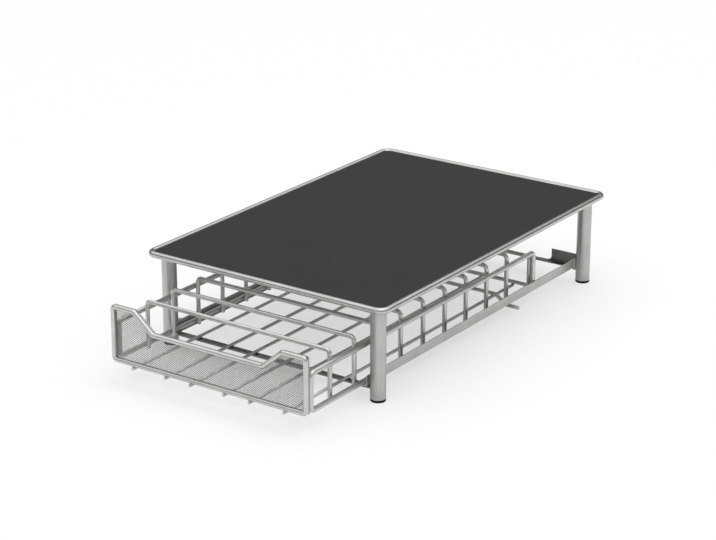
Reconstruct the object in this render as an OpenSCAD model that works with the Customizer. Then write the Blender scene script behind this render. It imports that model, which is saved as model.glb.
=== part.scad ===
// Coffee capsule holder: a low steel stand with a matted top,
// and a wire drawer that slides out on two rails under it.
// The drawer is drawn pulled out a little, and its front faces -Y.

/* [Top] */
// Width of the top, over the rim
top_w = 313; // [290:1:350]
// Length of the top, over the rim
top_l = 463.5; // [420:0.5:540]
// Height of the mat's surface above the floor
mat_z = 107.5; // [98:0.5:130]
// Diameter of the rim tube
rim_d = 7; // [5:0.5:9]
// Bend radius of the rim's corners, on the tube's axis
rim_bend = 9.5; // [6:0.5:20]
// How far the rim's crest stands above the mat
rim_proud = 1.8; // [0.5:0.1:2.4]
// Thickness of the mat
mat_t = 2.5; // [1.5:0.1:4]
// Gap between the mat or the plate and the rim
mat_gap = 0.1; // [0.05:0.05:0.5]
// Thickness of the steel plate under the mat
plate_t = 1.2; // [0.8:0.1:2]

/* [Legs] */
// Diameter of a leg tube
leg_d = 16.6; // [14:0.1:22]
// Wall of a leg tube
leg_wall = 1.2; // [0.8:0.1:2]
// From the outer edge of the rim to a leg's axis
leg_inset = 19.2; // [16:0.2:26]
// Height of the foot that shows under a leg
foot_h = 2.7; // [2:0.1:6]
// Length of the foot's plug inside the leg
foot_plug = 8; // [5:0.5:15]
// Radial gap between the plug and the leg's wall
plug_gap = 0.1; // [0.05:0.05:0.2]

/* [Rails and bars] */
// Height of the rails' underside above the floor
rail_z = 16.6; // [15.5:0.1:25]
// Height of a rail's upright web
rail_h = 11.4; // [8:0.2:16]
// Width of a rail's ledge, from the web's outer face
rail_ledge = 6.3; // [5.5:0.1:8]
// Thickness of the rails and of the rear bar
sheet_t = 1.2; // [0.8:0.1:1.6]
// Thickness of a lug between rail and leg
lug_t = 2.6; // [1.5:0.1:4]
// Length of a lug beside the leg
lug_l = 6.2; // [4:0.1:7]
// How far a lug reaches below its rail
lug_drop = 1; // [0.5:0.1:2]
// Width of the front cross bar
front_bar_w = 8; // [5:0.5:10]
// Thickness of the front cross bar
front_bar_t = 2; // [1:0.1:3]
// From the legs' front to the front bar's front edge
front_bar_set = 5.4; // [1:0.1:7]
// Gap between the front bar and the floor wires above it
front_bar_gap = 0.5; // [0.3:0.1:3]
// Width of the rear cross bar
rear_bar_w = 8; // [5:0.5:12]
// From the rear legs' axis to the rear bar's back edge
rear_bar_past = 0.95; // [0:0.05:2]
// Height of the rear bar's turned-up ends
rear_flange_h = 15.6; // [12.5:0.1:25]
// Length of a turned-up end
rear_flange_l = 34; // [20:0.5:45]
// Radius where a turned-up end runs into the bar
rear_fillet = 5; // [2:0.5:8]

/* [Drawer] */
// How far the drawer is pulled out as drawn
drawer_pull = 86; // [0:1:250]
// How far the closed drawer's front stands before the rim
front_proud = 5.5; // [2:0.5:20]
// Running gap between the drawer's wires and the rails
run_gap = 0.3; // [0.2:0.1:0.6]
// Gap at each side between the drawer and the rails' webs
side_gap = 0.4; // [0.3:0.1:1.5]
// Gap left between welded wires
weld_gap = 0.1; // [0.05:0.05:0.2]

/* [Drawer front] */
// Wire diameter of the front frame
front_wire_d = 5.5; // [4:0.1:6.5]
// Height of the front frame
front_h = 64.8; // [58:0.2:75]
// Bend radius of the front frame's outer corners
front_bend = 3.2; // [2.9:0.1:6]
// Width of an ear at the top of the front, wire axis to the bend
ear_w = 28.5; // [22:0.5:40]
// Depth of the dip between the ears
dip_depth = 20.6; // [14:0.2:26]
// Run of the dip's slope along the width
dip_run = 24.5; // [18:0.5:32]
// Bend radius of the dip's corners
dip_bend = 6; // [4:0.5:9]
// Thickness of the mesh panel's pressed edge band
hem_t = 2.3; // [1.5:0.1:4]
// Width of the edge band, from the front wire's axis
hem_w = 3; // [2.5:0.1:5]
// Thickness of the mesh
mesh_t = 0.8; // [0.5:0.1:1.4]
// Spacing of the mesh's gaps
mesh_pitch = 5.6; // [5.5:0.1:8]
// Width of the strand between two gaps
mesh_strand = 1; // [0.6:0.1:2]

/* [Drawer wires] */
// Wire diameter of the side loops
side_wire_d = 5.8; // [4.5:0.1:6.4]
// Height of a side loop
side_h = 46.2; // [42:0.1:56]
// Bend radius of a side loop's corners
side_bend = 5; // [3.5:0.5:8]
// Wire diameter of the rear frame
rear_wire_d = 4.5; // [3.5:0.1:5]
// Height of the rear frame
rear_h = 39.8; // [30:0.2:41.5]
// Bend radius of the rear frame's corners
rear_bend = 4; // [3:0.5:8]
// Number of divider hoops
hoop_n = 9; // [5:1:10]
// Wire diameter of a hoop
hoop_wire_d = 4.9; // [3:0.1:5.5]
// Height of a hoop
hoop_h = 56.2; // [50:0.2:66]
// Bend radius of a hoop's corners
hoop_bend = 5; // [3:0.5:10]
// From the drawer's front to the first hoop's axis
hoop_first = 51.2; // [40:0.1:70]
// From the last hoop's axis to the rear frame's axis
hoop_last = 49.4; // [30:0.1:70]
// Wire diameter of the floor wires
floor_wire_d = 3.5; // [2.5:0.1:4]
// From a hoop's leg to the nearest floor wire, axis to axis
floor_edge = 20.6; // [16:0.2:30]
// Spacing of the two floor wires of a pair
floor_pair = 43.6; // [30:0.2:55]
// How far the floor wires reach past the rear frame's axis
floor_past = 1; // [0:0.1:2]
// Wire diameter of the stop wire
stop_wire_d = 4.2; // [3:0.1:5]
// Gap between the stop wire's ends and the rails above them
stop_under = 4.6; // [0.6:0.1:6]
// From the last floor wire to the stop wire's first bend
stop_bend_in = 3.6; // [3:0.1:8]
// From the stop wire's second bend to the rail's ledge
stop_bend_out = 4.2; // [2:0.1:8]
// Bend radius of the stop wire
stop_bend = 5; // [3:0.5:8]
// How far the stop wire's ends reach past the rails
stop_past = 5; // [3:0.5:8]

/* [Hidden] */
$fn = 64;
steel = "#B4B4B4";
steel_mesh = "#A6A6A6";
mat_grey = "#434343";
foot_black = "#1B1B1B";
cut = 1;
// Where a wire is bent at a slant, its straight runs are this much thinner and sunk this deep in the bends
slant_step = 0.03;
slant_sink = 0.1;

rim_r = rim_d / 2;
rim_x = top_w / 2 - rim_r;
rim_y = top_l / 2 - rim_r;
rim_z = mat_z + rim_proud - rim_r;
mat_x = rim_x - rim_r - mat_gap;
mat_y = rim_y - rim_r - mat_gap;
mat_corner = max(rim_bend - rim_r - mat_gap, 1);
plate_z = mat_z - mat_t - plate_t;

leg_r = leg_d / 2;
leg_x = top_w / 2 - leg_inset;
leg_y = top_l / 2 - leg_inset;
web_x = leg_x - leg_r;
ledge_x = web_x - rail_ledge;
ledge_z = rail_z + sheet_t;
rail_front = -leg_y - leg_r;
rear_bar_back = leg_y + rear_bar_past;
rear_bar_front = rear_bar_back - rear_bar_w;
flange_front = rear_bar_back - sheet_t;

front_r = front_wire_d / 2;
side_r = side_wire_d / 2;
hoop_r = hoop_wire_d / 2;
rear_r = rear_wire_d / 2;
floor_r = floor_wire_d / 2;
stop_r = stop_wire_d / 2;
front_reach = top_l / 2 + front_proud + drawer_pull;
stand_y = (front_reach - top_l / 2) / 2;
drawer_y = stand_y - front_reach;

// Places across the drawer
side_x = web_x - sheet_t - side_gap - side_r;
front_x = side_x;
hoop_x = side_x - side_r - weld_gap - hoop_r;
rear_x = side_x - side_r - weld_gap - rear_r;
floor_x = hoop_x - floor_edge;
floor_at = [-floor_x, -floor_x + floor_pair, -floor_pair / 2, floor_pair / 2, floor_x - floor_pair, floor_x];

// Heights in the drawer
wire_z = ledge_z + run_gap;
front_low = wire_z + front_r;
front_top = wire_z + front_h - front_r;
dip_z = front_top - dip_depth;
floor_z = wire_z - weld_gap - floor_r;
front_bar_z = floor_z - floor_r - front_bar_gap - front_bar_t;
stop_z = floor_z + floor_r + weld_gap + stop_r;
stop_low = rail_z - stop_under - stop_r;

// Places along the drawer, from its front face
hem_y = front_wire_d + weld_gap;
post_y = hem_y + hem_t + weld_gap + side_r;
floor_end = rear_bar_front - run_gap + top_l / 2 + front_proud;
rear_y = floor_end - floor_past;
hoop_pitch = (rear_y - hoop_last - hoop_first) / (hoop_n - 1);
stop_y = rear_y - hoop_last + hoop_r + weld_gap + stop_r;

// The front's outline, drawn in by a margin from the wire's axis
ear_x = front_x - ear_w;
dip_x = ear_x - dip_run;
dip_angle = atan2(dip_depth, dip_run);
function lean(margin) = margin * tan(dip_angle / 2);
function front_outline(margin = 0) = [
    [-front_x + margin, front_low + margin],
    [front_x - margin, front_low + margin],
    [front_x - margin, front_top - margin],
    [ear_x + lean(margin), front_top - margin],
    [dip_x + lean(margin), dip_z - margin],
    [-dip_x - lean(margin), dip_z - margin],
    [-ear_x - lean(margin), front_top - margin],
    [-front_x + margin, front_top - margin]
];

CORNERS = ["front_left", "front_right", "rear_left", "rear_right"];
SIDES = ["left", "right"];

// Sign of a corner along X and along Y
function corner_x(c) = c == "front_left" || c == "rear_left" ? -1 : 1;
function corner_y(c) = c == "front_left" || c == "front_right" ? -1 : 1;

module on_stand() {
    translate([0, stand_y, 0]) children();
}

module on_drawer() {
    translate([0, drawer_y, 0]) children();
}

// Lays a shape drawn in X and Y upright, in X and Z
module upright() {
    rotate([90, 0, 0]) children();
}

// Mirrors a shape drawn at the rear right into a corner
module into_corner(c) {
    mirror([corner_x(c) < 0 ? 1 : 0, 0, 0]) mirror([0, corner_y(c) < 0 ? 1 : 0, 0]) children();
}

function heading(a, b) = atan2(b[1] - a[1], b[0] - a[0]);
function turn(from, to) = (to - from + 540) % 360 - 180;

// A round wire bent in a plane through the points, with one bend radius for each point
module bent_wire(points, r, bends, closed = false, step = 0, sink = 0) {
    n = len(points);
    legs = closed ? n : n - 1;
    aim = [for (i = [0:legs - 1]) heading(points[i], points[(i + 1) % n])];
    bent = [for (i = [0:n - 1]) closed || (i > 0 && i < n - 1)];
    sweep = [for (i = [0:n - 1]) bent[i] ? turn(aim[(i + n - 1) % n], aim[i]) : 0];
    trim = [for (i = [0:n - 1]) bent[i] ? bends[i] * tan(abs(sweep[i]) / 2) : 0];
    for (i = [0:legs - 1]) {
        next = (i + 1) % n;
        from = bent[i] ? trim[i] - sink : 0;
        to = norm(points[next] - points[i]) - (bent[next] ? trim[next] - sink : 0);
        translate(points[i]) rotate([0, 90, aim[i]]) translate([0, 0, from]) cylinder(r = r - step, h = to - from);
    }
    for (i = [0:n - 1]) if (bent[i]) {
        before = aim[(i + n - 1) % n];
        side = sign(sweep[i]);
        start = points[i] - trim[i] * [cos(before), sin(before)];
        centre = start + side * bends[i] * [-sin(before), cos(before)];
        translate(centre) rotate(before - side * 90 + min(sweep[i], 0))
            rotate_extrude(angle = abs(sweep[i])) translate([bends[i], 0]) circle(r);
    }
}

function same(value, n) = [for (i = [1:n]) value];

// A rectangle of points from the lower left
function rectangle(x, low, high) = [[-x, low], [x, low], [x, high], [-x, high]];

module rounded_slab(x, y, corner, t) {
    linear_extrude(t) union() {
        square([2 * x, 2 * (y - corner)], center = true);
        square([2 * (x - corner), 2 * y], center = true);
        for (i = [-1, 1]) for (j = [-1, 1]) translate([i * (x - corner), j * (y - corner)]) circle(corner);
    }
}

module top_rim() {
    color(steel) on_stand() translate([0, 0, rim_z])
        bent_wire(rectangle(rim_x, -rim_y, rim_y), rim_r, same(rim_bend, 4), closed = true);
}

module top_plate() {
    color(steel) on_stand() translate([0, 0, plate_z]) rounded_slab(mat_x, mat_y, mat_corner, plate_t);
}

module top_mat() {
    color(mat_grey) on_stand() translate([0, 0, mat_z - mat_t]) rounded_slab(mat_x, mat_y, mat_corner, mat_t);
}

module leg(c) {
    color(steel) on_stand() into_corner(c) translate([leg_x, leg_y, foot_h]) difference() {
        cylinder(d = leg_d, h = plate_z - foot_h);
        translate([0, 0, -cut]) cylinder(r = leg_r - leg_wall, h = plate_z - foot_h + 2 * cut);
    }
}

// A cap under the leg, with a plug that holds it in the tube
module foot(c) {
    color(foot_black) on_stand() into_corner(c) translate([leg_x, leg_y, 0]) {
        cylinder(d = leg_d, h = foot_h);
        cylinder(r = leg_r - leg_wall - plug_gap, h = foot_h + foot_plug);
    }
}

// An L of sheet: an upright web against the legs and a ledge for the drawer
module rail(s) {
    color(steel) on_stand() mirror([s == "left" ? 1 : 0, 0, 0]) translate([0, rail_front, rail_z]) {
        length = flange_front - weld_gap - rail_front;
        translate([web_x - sheet_t, 0, 0]) cube([sheet_t, length, rail_h]);
        translate([ledge_x, 0, 0]) cube([rail_ledge, length, sheet_t]);
    }
}

// A plate against the rail's web, cut to the leg's round
module rail_lug(c) {
    color(steel) on_stand() into_corner(c) difference() {
        translate([web_x, leg_y - leg_r - cut, rail_z - lug_drop]) cube([lug_t, lug_l, rail_h + lug_drop]);
        translate([leg_x, leg_y, 0]) cylinder(d = leg_d, h = plate_z);
    }
}

// A flat bar with its ends cut to the round of the front legs
module front_cross_bar() {
    color(steel) on_stand() difference() {
        translate([-leg_x, rail_front + front_bar_set, front_bar_z])
            cube([2 * leg_x, front_bar_w, front_bar_t]);
        for (i = [-1, 1]) translate([i * leg_x, -leg_y, 0]) cylinder(d = leg_d, h = rail_z);
    }
}

module rear_cross_bar() {
    flange_x = web_x - rear_flange_l;
    color(steel) on_stand() translate([0, 0, rail_z]) {
        translate([-ledge_x + weld_gap, rear_bar_front, 0])
            cube([2 * (ledge_x - weld_gap), rear_bar_w, sheet_t]);
        for (i = [0, 1]) mirror([i, 0, 0]) translate([0, rear_bar_back, 0]) upright() linear_extrude(sheet_t) {
            translate([flange_x, 0]) square([rear_flange_l - weld_gap, rear_flange_h]);
            translate([flange_x - rear_fillet, sheet_t]) difference() {
                square(rear_fillet);
                translate([0, rear_fillet]) circle(rear_fillet);
            }
        }
    }
}

module front_frame() {
    bends = [front_bend, front_bend, front_bend, dip_bend, dip_bend, dip_bend, dip_bend, front_bend];
    color(steel) on_drawer() translate([0, front_r, 0]) upright()
        bent_wire(front_outline(), front_r, bends, closed = true, step = slant_step, sink = slant_sink);
}

// Height to which the mesh reaches at a place across the front
function mesh_roof(x) =
    x <= dip_x + lean(hem_w) ? dip_z - hem_w :
    x >= ear_x + lean(hem_w) ? front_top - hem_w :
    dip_z - hem_w + (x - dip_x - lean(hem_w)) * dip_depth / dip_run;

// The mesh, drawn with coarser gaps than a real one, and its edge band
module front_mesh() {
    gap = mesh_pitch - mesh_strand;
    columns = floor((2 * (front_x - hem_w) - mesh_strand) / mesh_pitch);
    rows = floor((front_top - front_low - 2 * hem_w - mesh_strand) / mesh_pitch);
    color(steel_mesh) on_drawer() translate([0, hem_y + hem_t, 0]) upright() {
        linear_extrude(hem_t) difference() {
            polygon(front_outline());
            polygon(front_outline(hem_w));
        }
        translate([0, 0, hem_t - mesh_t]) linear_extrude(mesh_t) difference() {
            polygon(front_outline(hem_w));
            for (i = [0:columns - 1]) for (j = [0:rows - 1]) {
                x = (i - (columns - 1) / 2) * mesh_pitch;
                low = front_low + hem_w + mesh_strand + j * mesh_pitch;
                if (low + gap + mesh_strand <= mesh_roof(abs(x) - gap / 2 - mesh_strand))
                    translate([x - gap / 2, low]) square(gap);
            }
        }
    }
}

// A closed loop that stands along the drawer's side
module side_loop(s) {
    color(steel) on_drawer() mirror([s == "left" ? 1 : 0, 0, 0]) translate([side_x, 0, 0]) rotate([90, 0, 90])
        bent_wire([
            [post_y, wire_z + side_r],
            [rear_y, wire_z + side_r],
            [rear_y, wire_z + side_h - side_r],
            [post_y, wire_z + side_h - side_r]
        ], side_r, same(side_bend, 4), closed = true);
}

// An upside-down U across the drawer, welded inside both side loops
module divider_hoop(i) {
    hoop_top = wire_z + hoop_h - hoop_r;
    color(steel) on_drawer() translate([0, hoop_first + (i - 1) * hoop_pitch, 0]) upright()
        bent_wire([[-hoop_x, wire_z], [-hoop_x, hoop_top], [hoop_x, hoop_top], [hoop_x, wire_z]],
            hoop_r, same(hoop_bend, 4));
}

module floor_wire(i) {
    color(steel) on_drawer() translate([floor_at[i - 1], 0, floor_z]) rotate([-90, 0, 0])
        cylinder(r = floor_r, h = floor_end);
}

module rear_frame() {
    color(steel) on_drawer() translate([0, rear_y, 0]) upright()
        bent_wire(rectangle(rear_x, wire_z + rear_r, wire_z + rear_h - rear_r), rear_r, same(rear_bend, 4),
            closed = true);
}

// A cross wire on the floor wires, cranked down at both ends to pass under the rails
module stop_wire() {
    crank_in = floor_x + stop_bend_in;
    crank_out = ledge_x - stop_bend_out;
    end = web_x + stop_past;
    color(steel) on_drawer() translate([0, stop_y, 0]) upright()
        bent_wire([
            [-end, stop_low], [-crank_out, stop_low], [-crank_in, stop_z],
            [crank_in, stop_z], [crank_out, stop_low], [end, stop_low]
        ], stop_r, same(stop_bend, 6), step = slant_step, sink = slant_sink);
}

top_rim();
top_plate();
top_mat();
for (c = CORNERS) leg(c);
for (c = CORNERS) foot(c);
for (s = SIDES) rail(s);
for (c = CORNERS) rail_lug(c);
front_cross_bar();
rear_cross_bar();
front_frame();
front_mesh();
for (s = SIDES) side_loop(s);
for (i = [1:hoop_n]) divider_hoop(i);
for (i = [1:len(floor_at)]) floor_wire(i);
rear_frame();
stop_wire();
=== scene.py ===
import math

import bmesh
import bpy
from mathutils import Matrix, Vector


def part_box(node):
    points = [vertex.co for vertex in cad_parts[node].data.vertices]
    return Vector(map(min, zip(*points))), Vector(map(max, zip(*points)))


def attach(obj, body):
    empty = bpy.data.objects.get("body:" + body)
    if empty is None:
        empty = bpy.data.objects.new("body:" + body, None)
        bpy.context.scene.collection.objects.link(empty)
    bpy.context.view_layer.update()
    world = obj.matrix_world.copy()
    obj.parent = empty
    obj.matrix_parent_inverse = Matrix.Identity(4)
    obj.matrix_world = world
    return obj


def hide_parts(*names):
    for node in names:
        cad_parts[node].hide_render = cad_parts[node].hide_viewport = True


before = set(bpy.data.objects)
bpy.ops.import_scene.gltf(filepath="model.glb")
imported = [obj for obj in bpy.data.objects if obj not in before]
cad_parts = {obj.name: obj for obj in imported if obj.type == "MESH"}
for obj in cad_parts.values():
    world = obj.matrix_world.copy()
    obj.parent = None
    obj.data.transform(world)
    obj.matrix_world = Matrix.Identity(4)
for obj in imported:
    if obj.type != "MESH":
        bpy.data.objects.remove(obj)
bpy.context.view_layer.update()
MM = 0.001


# Top rim
# The edge of the top: a mild-steel tube bent to a rectangle, plated and blasted to a satin silver.
# Its ends are butt-welded, and the plate is tacked inside it.

def linear(hex_colour):
    """An sRGB hex colour as linear RGBA."""
    channels = [int(hex_colour[i:i + 2], 16) / 255 for i in (1, 3, 5)]
    return [c / 12.92 if c <= 0.04045 else ((c + 0.055) / 1.055) ** 2.4 for c in channels] + [1]


def add(tree, kind, inputs=None, **settings):
    """Adds a node with its settings, and sets or links its inputs."""
    node = tree.nodes.new(kind)
    for setting, value in settings.items():
        setattr(node, setting, value)
    for socket, value in (inputs or {}).items():
        if isinstance(value, bpy.types.NodeSocket):
            tree.links.new(value, node.inputs[socket])
        else:
            node.inputs[socket].default_value = value
    return node


def new_material(name):
    """An empty material, its tree and its output's surface socket."""
    material = bpy.data.materials.new(name)
    material.use_nodes = True
    tree = material.node_tree
    tree.nodes.clear()
    return material, tree, tree.nodes.new("ShaderNodeOutputMaterial").inputs["Surface"]


def satin_steel(name, light, dark, grain, roughness=0.3):
    """Nickel-plated mild steel, blasted to a satin. Drawing and rolling leave faint lines along the metal,
    which stretch its highlights a little and vary its gloss. They are wider than the real ones, to show.
    grain is the axis that the lines follow, or "wire" for the run of a bent wire."""
    line_width = 0.35 * MM
    line_length = 30 * MM
    cloud_size = 25 * MM
    line_depth = 0.012 * MM
    darkest = 0.1
    palest = 0.45
    duller = 0.06
    glossier = 0.04
    material, tree, surface = new_material(name)
    scale = [1 / line_width] * 3
    if grain == "wire":
        section = add(tree, "ShaderNodeAttribute", attribute_name="section")
        flat = add(tree, "ShaderNodeSeparateXYZ", {"Vector": section.outputs["Vector"]})
        run = add(tree, "ShaderNodeAttribute", attribute_name="run")
        place = add(tree, "ShaderNodeCombineXYZ", {"X": flat.outputs["X"], "Y": flat.outputs["Y"],
                                                   "Z": run.outputs["Fac"]}).outputs["Vector"]
        scale[2] = 1 / line_length
    else:
        place = add(tree, "ShaderNodeTexCoord").outputs["Object"]
        scale["XYZ".index(grain)] = 1 / line_length
    stretched = add(tree, "ShaderNodeMapping", {"Vector": place, "Scale": scale})
    lines = add(tree, "ShaderNodeTexNoise", {"Vector": stretched.outputs["Vector"], "Scale": 1, "Detail": 3})
    anywhere = add(tree, "ShaderNodeTexCoord").outputs["Object"]
    clouds = add(tree, "ShaderNodeTexNoise", {"Vector": anywhere, "Scale": 1 / cloud_size, "Detail": 4})
    blend = add(tree, "ShaderNodeMath", {0: lines.outputs["Fac"], 1: clouds.outputs["Fac"]},
                operation="MULTIPLY")
    spread = add(tree, "ShaderNodeMapRange", {
        "Value": blend.outputs["Value"], "From Min": darkest, "From Max": palest})
    colour = add(tree, "ShaderNodeMix", {
        "Factor": spread.outputs["Result"], 6: linear(dark), 7: linear(light)}, data_type="RGBA")
    gloss = add(tree, "ShaderNodeMapRange", {
        "Value": spread.outputs["Result"], "To Min": roughness + duller, "To Max": roughness - glossier})
    relief = add(tree, "ShaderNodeBump", {"Height": lines.outputs["Fac"], "Distance": line_depth})
    shader = add(tree, "ShaderNodeBsdfPrincipled", {
        "Base Color": colour.outputs[2], "Metallic": 1, "Roughness": gloss.outputs["Result"],
        "Normal": relief.outputs["Normal"]})
    tree.links.new(shader.outputs["BSDF"], surface)
    return material


rim_steel = satin_steel("Satin nickel-plated steel rim tube", "#C6C6C5", "#B2B2B1", "wire", 0.25)


def new_tree(name, inputs):
    """A geometry tree with named inputs: the tree, what it is given, and its result's socket."""
    tree = bpy.data.node_groups.new(name, "GeometryNodeTree")
    tree.interface.new_socket("Geometry", in_out="INPUT", socket_type="NodeSocketGeometry")
    for label, kind in inputs.items():
        tree.interface.new_socket(label, in_out="INPUT", socket_type=kind)
    tree.interface.new_socket("Geometry", in_out="OUTPUT", socket_type="NodeSocketGeometry")
    return tree, tree.nodes.new("NodeGroupInput").outputs, tree.nodes.new("NodeGroupOutput").inputs[0]


def grow(tree, base, name, values):
    """Runs a geometry tree on a mesh and keeps the result as a plain mesh object."""
    seed = bpy.data.objects.new(name + "_seed", base)
    bpy.context.scene.collection.objects.link(seed)
    modifier = seed.modifiers.new("shape", "NODES")
    modifier.node_group = tree
    for item in tree.interface.items_tree:
        if item.in_out == "INPUT" and item.name in values:
            modifier[item.identifier] = values[item.name]
    seed.update_tag()
    depsgraph = bpy.context.evaluated_depsgraph_get()
    mesh = bpy.data.meshes.new_from_object(seed.evaluated_get(depsgraph), depsgraph=depsgraph)
    bpy.data.objects.remove(seed)
    return new_piece(name, mesh)


def new_piece(name, mesh, sharp_angle=40):
    """Puts a finished mesh in the scene, smooth except at its sharp edges."""
    piece = bpy.data.objects.new(name, mesh)
    bpy.context.scene.collection.objects.link(piece)
    mesh.shade_smooth()
    mesh.set_sharp_from_angle(angle=math.radians(sharp_angle))
    return piece


def fit(piece, body, slot, *nodes):
    """Fixes a piece to its body, in the place of the nodes that it stands for."""
    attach(piece, body)
    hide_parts(*nodes)


# The tree that sweeps a round section along bent paths, and repeats the result in a row
wire_tree, given, result = new_tree("Bent wire", {
    "Diameter": "NodeSocketFloat", "Sides": "NodeSocketInt", "Copies": "NodeSocketInt",
    "Step": "NodeSocketVector", "Finish": "NodeSocketMaterial"})
path = add(wire_tree, "GeometryNodeMeshToCurve", {"Mesh": given["Geometry"]})
reach = add(wire_tree, "GeometryNodeSplineParameter")
marked = add(wire_tree, "GeometryNodeStoreNamedAttribute", {
    "Geometry": path.outputs["Curve"], "Name": "run", "Value": reach.outputs["Length"]}, data_type="FLOAT")
radius = add(wire_tree, "ShaderNodeMath", {0: given["Diameter"], 1: 0.5}, operation="MULTIPLY")
section = add(wire_tree, "GeometryNodeCurvePrimitiveCircle", {
    "Resolution": given["Sides"], "Radius": radius.outputs["Value"]})
where = add(wire_tree, "GeometryNodeInputPosition")
section_marked = add(wire_tree, "GeometryNodeStoreNamedAttribute", {
    "Geometry": section.outputs["Curve"], "Name": "section", "Value": where.outputs["Position"]},
    data_type="FLOAT_VECTOR")
girth = add(wire_tree, "GeometryNodeInputNamedAttribute", {"Name": "girth"}, data_type="FLOAT")
swept = add(wire_tree, "GeometryNodeCurveToMesh", {
    "Curve": marked.outputs["Geometry"], "Profile Curve": section_marked.outputs["Geometry"],
    "Scale": girth.outputs["Attribute"], "Fill Caps": True})
row = add(wire_tree, "GeometryNodeMeshLine", {"Count": given["Copies"], "Offset": given["Step"]})
copies = add(wire_tree, "GeometryNodeInstanceOnPoints", {
    "Points": row.outputs["Mesh"], "Instance": swept.outputs["Mesh"]})
solid = add(wire_tree, "GeometryNodeRealizeInstances", {"Geometry": copies.outputs["Instances"]})
finished = add(wire_tree, "GeometryNodeSetMaterial", {
    "Geometry": solid.outputs["Geometry"], "Material": given["Finish"]})
wire_tree.links.new(finished.outputs["Geometry"], result)


def bent_path(corners, bends, closed):
    """Points along a path through the corners, with an arc of its own radius at each bend."""
    steps_per_bend = 10
    points = []
    count = len(corners)
    for i, corner in enumerate(corners):
        if not closed and i in (0, count - 1):
            points.append(corner)
            continue
        back = (corners[i - 1] - corner).normalized()
        ahead = (corners[(i + 1) % count] - corner).normalized()
        half = back.angle(ahead) / 2
        centre = corner + (back + ahead).normalized() * (bends[i] / math.sin(half))
        start = (corner + back * (bends[i] / math.tan(half)) - centre).normalized()
        end = (corner + ahead * (bends[i] / math.tan(half)) - centre).normalized()
        points += [centre + start.slerp(end, k / steps_per_bend) * bends[i]
                   for k in range(steps_per_bend + 1)]
    return points


def wires(name, paths, diameter, finish, closed=True, sides=24, copies=1, step=(0, 0, 0)):
    """Round wires, each given by its corners and the bend radius at each. Sheared ends are chamfered."""
    chamfer = 0.12 * diameter
    end_girth = 0.8
    points = []
    edges = []
    girths = []
    for corners, bends in paths:
        line = bent_path([Vector(c) for c in corners], bends, closed)
        if not closed:
            line.insert(1, line[0] + (line[1] - line[0]).normalized() * chamfer)
            line.insert(-1, line[-1] + (line[-2] - line[-1]).normalized() * chamfer)
        first = len(points)
        points += line
        edges += [(first + k, first + k + 1) for k in range(len(line) - 1)]
        if closed:
            edges.append((first + len(line) - 1, first))
        girths += [end_girth if not closed and k in (0, len(line) - 1) else 1 for k in range(len(line))]
    base = bpy.data.meshes.new(name + "_path")
    base.from_pydata(points, edges, [])
    base.attributes.new("girth", "FLOAT", "POINT").data.foreach_set("value", girths)
    return grow(wire_tree, base, name, {
        "Diameter": diameter, "Sides": sides, "Copies": copies, "Step": step, "Finish": finish})


rim_low, rim_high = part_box("top_rim")
rim_d = rim_high.z - rim_low.z
rim_bend = 9.5 * MM
rim_axis_low = rim_low + Vector((rim_d, rim_d, rim_d)) / 2
rim_axis_high = rim_high - Vector((rim_d, rim_d, rim_d)) / 2
rim_z = rim_axis_low.z
rim_corners = [(rim_axis_low.x, rim_axis_low.y, rim_z), (rim_axis_high.x, rim_axis_low.y, rim_z),
               (rim_axis_high.x, rim_axis_high.y, rim_z), (rim_axis_low.x, rim_axis_high.y, rim_z)]
top_rim = wires("top_rim_tube", [(rim_corners, [rim_bend] * 4)], rim_d, rim_steel, sides=40)
fit(top_rim, "stand", "steel", "top_rim")


# Top plate
# Cold-rolled steel sheet that carries the load, cut to the inside of the rim and tacked to it from below.
# It is plated with the rest, so its underside is the same satin silver.

def rounded_rectangle(low, high, corner, steps=8):
    """Outline of a rectangle with round corners, anticlockwise, in X and Y."""
    centres = [(high.x - corner, high.y - corner, 0), (low.x + corner, high.y - corner, 90),
               (low.x + corner, low.y + corner, 180), (high.x - corner, low.y + corner, 270)]
    return [(x + corner * math.cos(math.radians(start + 90 * k / steps)),
             y + corner * math.sin(math.radians(start + 90 * k / steps)))
            for x, y, start in centres for k in range(steps + 1)]


def prism(outline, depth, place=Matrix()):
    """A mesh of an outline in X and Y, raised along Z by a depth, then set in place."""
    shape = bmesh.new()
    face = shape.faces.new([shape.verts.new((x, y, 0)) for x, y in outline])
    raised = bmesh.ops.extrude_face_region(shape, geom=[face])
    lifted = [v for v in raised["geom"] if isinstance(v, bmesh.types.BMVert)]
    bmesh.ops.translate(shape, verts=lifted, vec=(0, 0, depth))
    bmesh.ops.transform(shape, matrix=place, verts=shape.verts)
    bmesh.ops.recalc_face_normals(shape, faces=shape.faces)
    mesh = bpy.data.meshes.new("prism")
    shape.to_mesh(mesh)
    shape.free()
    return mesh


def joined(meshes):
    """One mesh of several."""
    whole = bmesh.new()
    for mesh in meshes:
        whole.from_mesh(mesh)
        bpy.data.meshes.remove(mesh)
    mesh = bpy.data.meshes.new("joined")
    whole.to_mesh(mesh)
    whole.free()
    return mesh


def ease_edges(piece, width, segments=2):
    """Rounds off the sharp edges of a piece."""
    sharp_angle = 50
    bevel = piece.modifiers.new("eased edges", "BEVEL")
    bevel.width = width
    bevel.segments = segments
    bevel.limit_method = "ANGLE"
    bevel.angle_limit = math.radians(sharp_angle)
    bevel.harden_normals = True


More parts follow.
